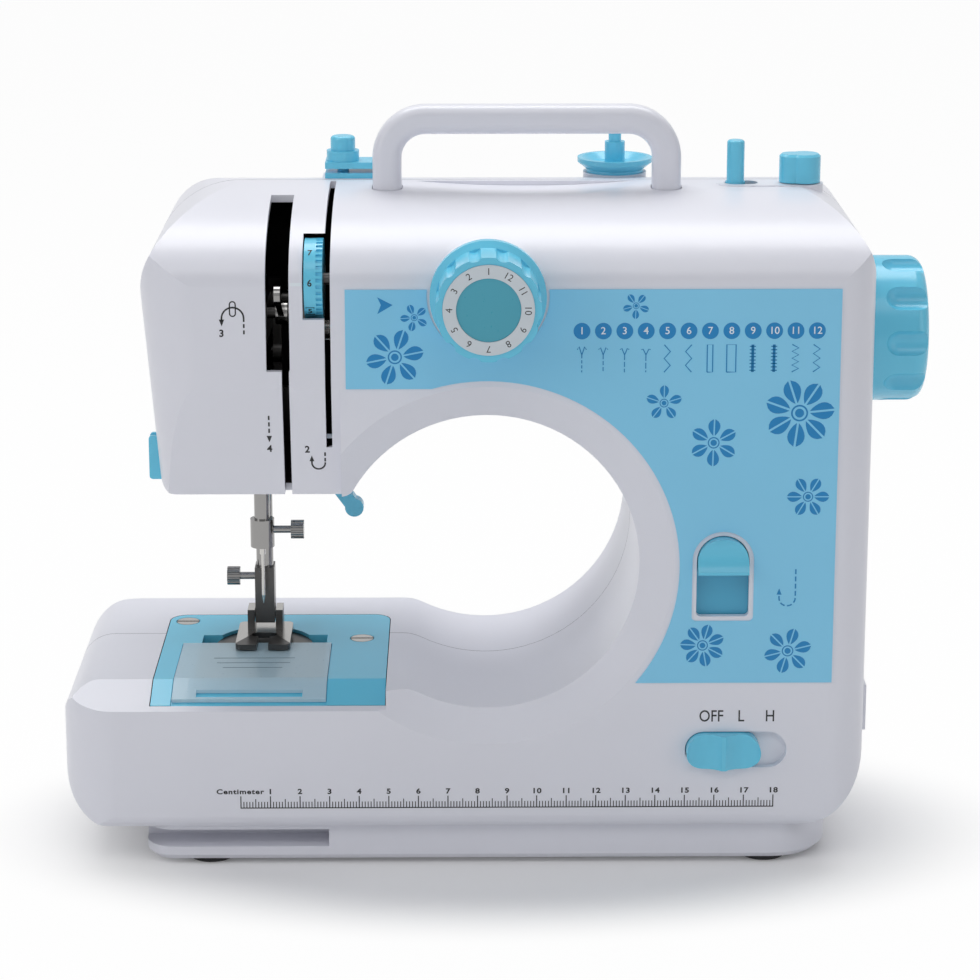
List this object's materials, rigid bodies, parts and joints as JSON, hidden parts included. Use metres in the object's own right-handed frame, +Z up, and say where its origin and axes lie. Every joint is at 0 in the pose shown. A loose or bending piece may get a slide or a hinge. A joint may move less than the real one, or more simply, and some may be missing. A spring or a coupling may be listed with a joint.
{
  "type": "sewing machine",
  "caption": "Compact electric sewing machine: two-half moulded housing with a round arch, pattern dial, handwheel, sliding carrying handle, needle and presser mechanism.",
  "frame": {"origin": "on the table under the middle of the machine's bounding box", "axes": "+X to the right of the person sewing, towards the handwheel, -Y faces that person, +Z up"},
  "size_m": [0.2956, 0.128, 0.2548],
  "materials": {
    "white_plastic": "glossy",
    "blue_plastic": "satin",
    "steel": "polished",
    "rubber": "matte",
    "panel_film": "printed film",
    "ring_plastic": "matte",
    "inner_plastic": "matte",
    "board": "satin",
    "clear_plastic": "frosted",
    "casting": "as cast",
    "bronze": "sintered"
  },
  "bodies": {
    "casing": {"front_shell": "white_plastic", "rear_shell": "white_plastic", "base_tray": "white_plastic", "rubber_feet": "rubber", "front_panel": "panel_film", "spool_bush": "blue_plastic", "spool_dish": "blue_plastic", "spool_pin": "blue_plastic", "winder_stop": "blue_plastic", "thread_guide": "blue_plastic", "pretension_cap": "blue_plastic", "circuit_board": "board", "jack_block": "inner_plastic", "lamp_lens": "clear_plastic", "thread_cutter": "blue_plastic", "pivot_pins": "steel", "needle_plate": "blue_plastic", "plate_screws": "steel", "stitch_plate": "steel", "hook_base": "inner_plastic", "lower_bearings": "inner_plastic", "shaft_bushes": "bronze", "arm_frame": "casting", "head_frame": "casting", "motor": "steel", "motor_bracket": "casting", "drive_belt": "rubber", "timing_belt": "rubber", "casing_screws": "steel", "presser_spring": "steel"},
    "main_drive": {"main_shaft": "steel", "shaft_pulleys": "inner_plastic", "crank_disc": "casting", "handwheel": "blue_plastic"},
    "motor_rotor": {"motor_pulley": "steel"},
    "lower_drive": {"lower_shaft": "steel"},
    "hook": {"shuttle_hook": "steel"},
    "bobbin_reel": {"bobbin": "clear_plastic"},
    "stitch_selector": {"pattern_dial": "blue_plastic", "dial_ring": "ring_plastic", "stitch_cam": "inner_plastic"},
    "tension": {"tension_wheel": "blue_plastic"},
    "needle_group": {"needle_bar": "steel", "needle_link": "steel", "needle_clamp": "steel", "needle": "steel"},
    "take_up": {"take_up_lever": "steel"},
    "clamp_thumb_screw": {"clamp_screw": "steel"},
    "presser": {"presser_bar": "steel", "foot_shank": "steel"},
    "foot": {"presser_foot": "steel"},
    "foot_thumb_screw": {"foot_screw": "steel"},
    "lifter": {"lifter_lever": "blue_plastic"},
    "feed": {"feed_dog": "steel"},
    "cover": {"bobbin_cover": "clear_plastic"},
    "reverse": {"reverse_lever": "blue_plastic"},
    "speed": {"speed_slider": "blue_plastic"},
    "handle": {"carrying_handle": "white_plastic"},
    "winder": {"winder_carriage": "inner_plastic"},
    "winder_shaft": {"winder_spindle": "blue_plastic"}
  },
  "joints": [
    {"name": "handwheel_turn", "type": "hinge", "parent": "casing", "child": "main_drive", "pos_m": [0, 0.013, 0.1768], "axis": [1, 0, 0], "continuous": true},
    {"name": "motor_turn", "type": "hinge", "parent": "casing", "child": "motor_rotor", "pos_m": [0, 0.044, 0.072], "axis": [1, 0, 0], "continuous": true},
    {"name": "lower_shaft_turn", "type": "hinge", "parent": "casing", "child": "lower_drive", "pos_m": [0, 0.013, 0.032], "axis": [1, 0, 0], "continuous": true},
    {"name": "hook_turn", "type": "hinge", "parent": "casing", "child": "hook", "pos_m": [-0.084, -0.006, 0.052], "axis": [0, 0, 1], "continuous": true},
    {"name": "bobbin_turn", "type": "hinge", "parent": "casing", "child": "bobbin_reel", "pos_m": [-0.084, -0.006, 0.052], "axis": [0, 0, 1], "continuous": true},
    {"name": "pattern_turn", "type": "hinge", "parent": "casing", "child": "stitch_selector", "pos_m": [-0.0036, 0, 0.1998], "axis": [0, 1, 0], "continuous": true},
    {"name": "tension_turn", "type": "hinge", "parent": "casing", "child": "tension", "pos_m": [0, -0.029, 0.203], "axis": [1, 0, 0], "range_deg": [-120, 120]},
    {"name": "needle_stroke", "type": "slide", "parent": "casing", "child": "needle_group", "axis": [0, 0, -1], "range_m": [0, 0.022]},
    {"name": "take_up_swing", "type": "hinge", "parent": "casing", "child": "take_up", "pos_m": [0, -0.012, 0.188], "axis": [1, 0, 0], "range_deg": [0, 50]},
    {"name": "clamp_screw_turn", "type": "hinge", "parent": "needle_group", "child": "clamp_thumb_screw", "pos_m": [0, 0.013, 0.105], "axis": [1, 0, 0], "continuous": true},
    {"name": "presser_lift", "type": "slide", "parent": "casing", "child": "presser", "axis": [0, 0, 1], "range_m": [0, 0.006], "deforming": ["presser_spring"]},
    {"name": "foot_tilt", "type": "hinge", "parent": "presser", "child": "foot", "pos_m": [0, 0.023, 0.071], "axis": [-1, 0, 0], "range_deg": [0, 8]},
    {"name": "foot_screw_turn", "type": "hinge", "parent": "presser", "child": "foot_thumb_screw", "pos_m": [0, 0.023, 0.085], "axis": [1, 0, 0], "continuous": true},
    {"name": "lifter_swing", "type": "hinge", "parent": "casing", "child": "lifter", "pos_m": [-0.076, 0, 0.143], "axis": [0, -1, 0], "range_deg": [0, 22]},
    {"name": "feed_stroke", "type": "slide", "parent": "casing", "child": "feed", "axis": [0, 1, 0], "range_m": [-0.0015, 0.0015]},
    {"name": "cover_slide", "type": "slide", "parent": "casing", "child": "cover", "axis": [0, -1, 0], "range_m": [0, 0.038]},
    {"name": "reverse_press", "type": "slide", "parent": "casing", "child": "reverse", "axis": [0, 0, -1], "range_m": [0, 0.012], "stiffness_N_per_m": 100, "springref_m": -0.005},
    {"name": "speed_slide", "type": "slide", "parent": "casing", "child": "speed", "axis": [1, 0, 0], "range_m": [0, 0.0084]},
    {"name": "handle_slide", "type": "slide", "parent": "casing", "child": "handle", "axis": [0, 0, -1], "range_m": [0, 0.0095]},
    {"name": "winder_slide", "type": "slide", "parent": "casing", "child": "winder", "axis": [1, 0, 0], "range_m": [0, 0.004]},
    {"name": "winder_turn", "type": "hinge", "parent": "winder", "child": "winder_shaft", "pos_m": [0.0813, 0.016, 0.23], "axis": [0, 0, 1], "continuous": true}
  ],
  "couplings": [
    {"joint": "motor_turn", "follows": "handwheel_turn", "ratio": 3.6667},
    {"joint": "lower_shaft_turn", "follows": "handwheel_turn", "ratio": 1},
    {"joint": "hook_turn", "follows": "handwheel_turn", "ratio": 2},
    {"joint": "take_up_swing", "follows": "needle_stroke", "rad_per_m": 39.667},
    {"joint": "lifter_swing", "follows": "presser_lift", "rad_per_m": 63.995}
  ]
}
